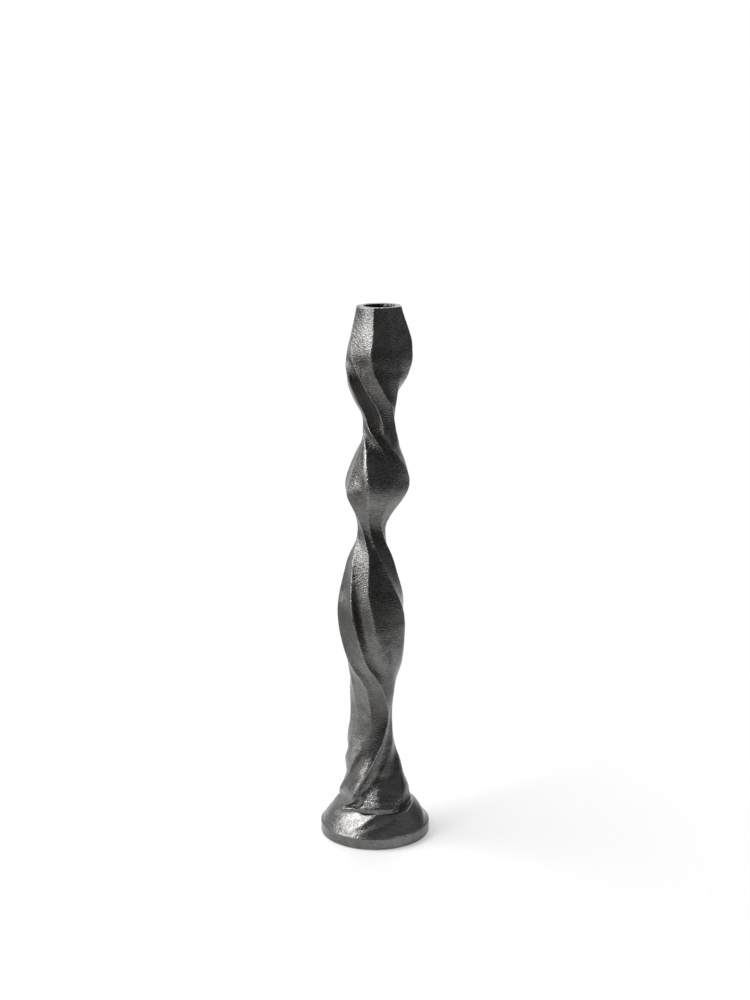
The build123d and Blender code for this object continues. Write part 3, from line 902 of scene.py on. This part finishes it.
def bumped(start, height, depth, strength=1.0):
    """A surface raised by a height, over a depth in millimetres."""
    sockets = {"Height": height, "Strength": strength, "Distance": depth * MM}
    return start.node("ShaderNodeBump", {}, sockets)


def surfaced(start, sockets):
    """Ends a material with its one surface."""
    shader = start.node("ShaderNodeBsdfPrincipled", {}, sockets)
    start.node("ShaderNodeOutputMaterial", {}, {"Surface": shader})


def blackened_casting():
    """Blackened cast metal: grainy, worn and painted with highlights along the ridges, darkened by patina
    and painted shade, pitted here and there.
    """
    dark_skin = (0.095, 0.093, 0.091, 1)
    light_skin = (0.235, 0.234, 0.231, 1)
    wear_and_highlight_metal = (0.4, 0.397, 0.39, 1)
    bright_sand = (0.3, 0.298, 0.292, 1)
    patina_and_shade_colour = (0.04, 0.037, 0.035, 1)
    raw_socket = (0.03, 0.029, 0.028, 1)
    pit_bottom = (0.05, 0.047, 0.044, 1)
    grain_stretch = (1.0, 1.0, 1.8)
    pit_spacing = 3.2
    grain_depth = 0.66
    material, start = new_material("blackened_casting")
    place = start.node("ShaderNodeTexCoord", output="Object")
    crest = mark(start, "crest")
    raw = mark(start, "raw")
    patina = mark(start, "patina")
    worked = mark(start, "worked")
    mottle = noise(start, place, size=14.0, detail=4.0, rough=0.6)
    patch = noise(start, place, size=5.0, detail=3.0)
    squat = start.node("ShaderNodeVectorMath", {"operation": "MULTIPLY"}, {0: place, 1: grain_stretch})
    grain = noise(start, squat, size=1.9, detail=2.0, rough=0.6)
    sand = noise(start, place, size=0.7, detail=1.0)
    spots = start.node("ShaderNodeTexVoronoi", {}, {"Vector": place, "Scale": 1 / (pit_spacing * MM)})
    pits = (1 - spots.between(0.1, 0.2)) * patch.between(0.58, 0.68)
    # Wear and painted highlights: ridges, rim and folds lightened towards a pale metal colour
    wear_and_highlight = crest * patch.between(0.3, 0.6)
    tone = 0.3 * mottle + 0.2 * patch + 0.25 + 0.5 * (grain - 0.5) * (1 - 0.7 * worked)
    colour = tone.between(0.32, 0.68).blend(dark_skin, light_skin)
    colour = (wear_and_highlight * 0.7).blend(colour, wear_and_highlight_metal)
    colour = sand.between(0.6, 0.75).blend(colour, bright_sand)
    # Patina and painted shade: faces darkened towards a near-black colour
    colour = patina.blend(colour, patina_and_shade_colour)
    colour = (raw * (1 - sand.between(0.55, 0.7))).blend(colour, raw_socket)
    colour = (pits * 0.7).blend(colour, pit_bottom)
    rough = 0.16 + 0.08 * mottle + 0.08 * grain + 0.15 * raw + 0.2 * pits - 0.03 * wear_and_highlight
    height = (0.7 * grain + 0.3 * sand) * (1 - 0.5 * worked) - 0.3 * pits + 1.2 * raw * patch
    bump = bumped(start, height, grain_depth)
    surfaced(start, {"Base Color": colour, "Metallic": 1.0, "Roughness": rough, "Normal": bump})
    return material


def zinc_steel():
    """Zinc-plated steel of the stud, nut, washers and pins."""
    dull_zinc = (0.5, 0.51, 0.52, 1)
    bright_zinc = (0.66, 0.66, 0.65, 1)
    plating_depth = 0.05
    material, start = new_material("zinc_steel")
    place = start.node("ShaderNodeTexCoord", output="Object")
    bloom = noise(start, place, size=2.5, detail=3.0)
    fine = noise(start, place, size=0.4, detail=2.0)
    colour = bloom.between(0.3, 0.7).blend(dull_zinc, bright_zinc)
    rough = 0.25 + 0.2 * bloom + 0.08 * fine
    bump = bumped(start, fine, plating_depth, strength=0.25)
    surfaced(start, {"Base Color": colour, "Metallic": 1.0, "Roughness": rough, "Normal": bump})
    return material


def charcoal_felt():
    """Pressed wool felt, matted and fibrous."""
    dark_wool = (0.012, 0.012, 0.013, 1)
    light_wool = (0.05, 0.05, 0.052, 1)
    fibre_depth = 0.3
    material, start = new_material("charcoal_felt")
    place = start.node("ShaderNodeTexCoord", output="Object")
    matted = noise(start, place, size=2.2, detail=4.0, rough=0.65)
    fibre = noise(start, place, size=0.35, detail=3.0, rough=0.7)
    colour = (0.6 * matted + 0.4 * fibre).between(0.3, 0.7).blend(dark_wool, light_wool)
    bump = bumped(start, matted + fibre, fibre_depth, strength=0.8)
    surfaced(start, {
        "Base Color": colour, "Roughness": 0.95, "Normal": bump,
        "Sheen Weight": 0.3, "Sheen Roughness": 0.5,
    })
    return material


metal = blackened_casting()
steel = zinc_steel()
felt = charcoal_felt()

stem = build_stem()
base = build_base()
pad = build_felt()
for piece, node, slot, material in (
    (stem, "stem", "cast_metal", metal),
    (base, "base", "cast_metal", metal),
    (pad, "felt_pad", "felt", felt),
):
    piece.data.materials.append(material)
    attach(piece, "root")
    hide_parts(node)
for node in ("tie_stud", "hex_nut", "spring_washer", "flat_washer", "locating_pins"):
    for place in frame["nodes"][node].material_slots:
        place.material = steel


def build_floor():
    """A pale floor that shows white, with the candlestick's soft shadow on it."""
    left, right, front, back = -1.0, 0.5, -0.8, 1.3
    white_paint = (0.97, 0.97, 0.97, 1)
    full_white = (1, 1, 1, 1)
    painted_shade_grey = (0.1, 0.1, 0.1, 1)
    mesh = bpy.data.meshes.new("floor")
    corners = [(left, front, 0), (right, front, 0), (right, back, 0), (left, back, 0)]
    mesh.from_pydata(corners, [], [(0, 1, 2, 3)])
    floor = bpy.data.objects.new("floor", mesh)
    bpy.context.scene.collection.objects.link(floor)
    material, start = new_material("pale_floor")
    place = start.node("ShaderNodeTexCoord", output="Object")
    far = start.node("ShaderNodeVectorMath", {"operation": "LENGTH"}, {0: place}, output="Value")
    seen = start.node("ShaderNodeLightPath", output="Is Camera Ray")
    mirrored = start.node("ShaderNodeLightPath", output="Is Glossy Ray")
    across = start.node("ShaderNodeSeparateXYZ", {}, {0: place}, output="X")
    along = start.node("ShaderNodeSeparateXYZ", {}, {0: place}, output="Y")
    # The floor shows white away from the object; in the metal's reflections it is painted darker to the
    # right, a painted shade for the candlestick's shadow and the fall-off of light there
    painted_shade_share = (0.8 * across - 0.6 * along).between(0.06, 0.7)
    near_white = 0.3 + 0.7 * far.between(0.05, 0.25)
    share = seen * (0.4 + 0.6 * far.between(0.06, 0.3)) + mirrored * near_white
    lit = start.node("ShaderNodeBsdfDiffuse", {}, {"Color": white_paint})
    glow = (painted_shade_share * mirrored).blend(full_white, painted_shade_grey)
    white = start.node("ShaderNodeEmission", {}, {"Color": glow})
    shader = start.node("ShaderNodeMixShader", {}, {0: share, 1: lit, 2: white})
    start.node("ShaderNodeOutputMaterial", {}, {"Surface": shader})
    mesh.materials.append(material)


def build_world():
    """A white backdrop behind the object, and a dim room in front of it."""
    world = bpy.data.worlds.new("studio")
    bpy.context.scene.world = world
    world.use_nodes = True
    world.node_tree.nodes.clear()
    start = Wire(world.node_tree)
    place = start.node("ShaderNodeTexCoord", output="Generated")
    across = start.node("ShaderNodeSeparateXYZ", {}, {0: place}, output="X")
    along = start.node("ShaderNodeSeparateXYZ", {}, {0: place}, output="Y")
    up = start.node("ShaderNodeSeparateXYZ", {}, {0: place}, output="Z")
    seen = start.node("ShaderNodeLightPath", output="Is Camera Ray")
    side = across.between(0.6, 1.0)
    ceiling = up.between(0.3, 0.95)
    upper_right = across.between(0.4, 0.8) * up.between(0.25, 0.5)
    backdrop = (along - 0.35 * across).between(0.5, 0.88)
    level = 0.12 + 0.08 * side + 0.15 * ceiling + 0.11 * upper_right + 0.75 * backdrop
    colour = (level + seen * (1 - level)).blend((0, 0, 0, 1), (1, 1, 1, 1))
    sky = start.node("ShaderNodeBackground", {}, {"Color": colour, "Strength": 1.0})
    start.node("ShaderNodeOutputWorld", {}, {"Surface": sky})


def add_softbox(name, place, aim, width, height, brightness):
    """A soft area lamp of a brightness at its face, aimed at a point."""
    lamp = bpy.data.lights.new(name, "AREA")
    lamp.shape = "RECTANGLE"
    lamp.size = width
    lamp.size_y = height
    lamp.energy = brightness * math.pi * width * height
    holder = bpy.data.objects.new(name, lamp)
    holder.location = place
    holder.rotation_euler = (Vector(aim) - Vector(place)).to_track_quat("-Z", "Y").to_euler()
    bpy.context.scene.collection.objects.link(holder)


def add_camera():
    """The camera at the photograph's viewing angle."""
    place = (0, -1.279, 0.564)
    downward = 13.472
    lens = bpy.data.cameras.new("camera")
    lens.sensor_fit = "VERTICAL"
    lens.sensor_height = 36.0
    lens.lens = 64.85
    holder = bpy.data.objects.new("camera", lens)
    holder.location = place
    holder.rotation_euler = (math.radians(90 - downward), 0, 0)
    bpy.context.scene.collection.objects.link(holder)
    bpy.context.scene.camera = holder


# Lamps, in metres: name, place, aim, width, height, brightness
softboxes = [
    ("key_softbox", (-0.65, -0.06, 0.85), (0, 0, 0.15), 0.75, 0.5, 7.0),
    ("strip_softbox", (-0.81, -0.51, 0.58), (0, 0, 0.25), 0.26, 0.6, 4.4),
    ("fill_softbox", (-0.92, 0.08, 0.62), (0, 0, 0.25), 0.9, 0.4, 0.35),
    ("side_softbox", (-1.0, -0.1, 0.3), (0, 0, 0.25), 0.38, 0.54, 2.4),
    ("floor_softbox", (0.1, 0.95, 1.3), (0, 0.15, 0), 0.8, 0.8, 4.0),
]

build_floor()
build_world()
for lamp in softboxes:
    add_softbox(*lamp)
add_camera()
bpy.context.scene.view_settings.view_transform = "Standard"
